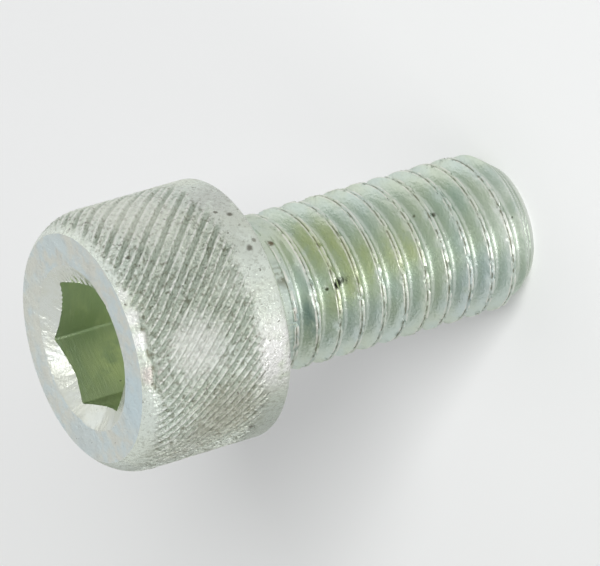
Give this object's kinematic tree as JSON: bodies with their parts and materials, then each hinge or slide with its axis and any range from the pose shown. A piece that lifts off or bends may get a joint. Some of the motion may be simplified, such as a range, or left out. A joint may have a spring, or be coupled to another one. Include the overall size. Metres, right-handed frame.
{
  "type": "socket head cap screw",
  "caption": "Hexagon socket head cap screw with a knurled round head and a right-hand thread that runs up to the head; clamps parts and is driven from above with a hexagon key.",
  "frame": {"origin": "centre of the flat bearing face under the head, on the screw's axis, where its nominal length is measured from", "axes": "+Z along the screw's axis, out of the head and its socket; the threaded shank runs down -Z to the flat end it stands on; two corners of the hexagon socket point along +X and -X"},
  "size_m": [0.013, 0.013, 0.0238],
  "materials": {
    "zinc_plated_steel": "bright zinc plate with a pale blue to yellow-green passivated film, fine scratches and small pits"
  },
  "bodies": {
    "root": {"bolt": "zinc_plated_steel"}
  },
  "joints": []
}
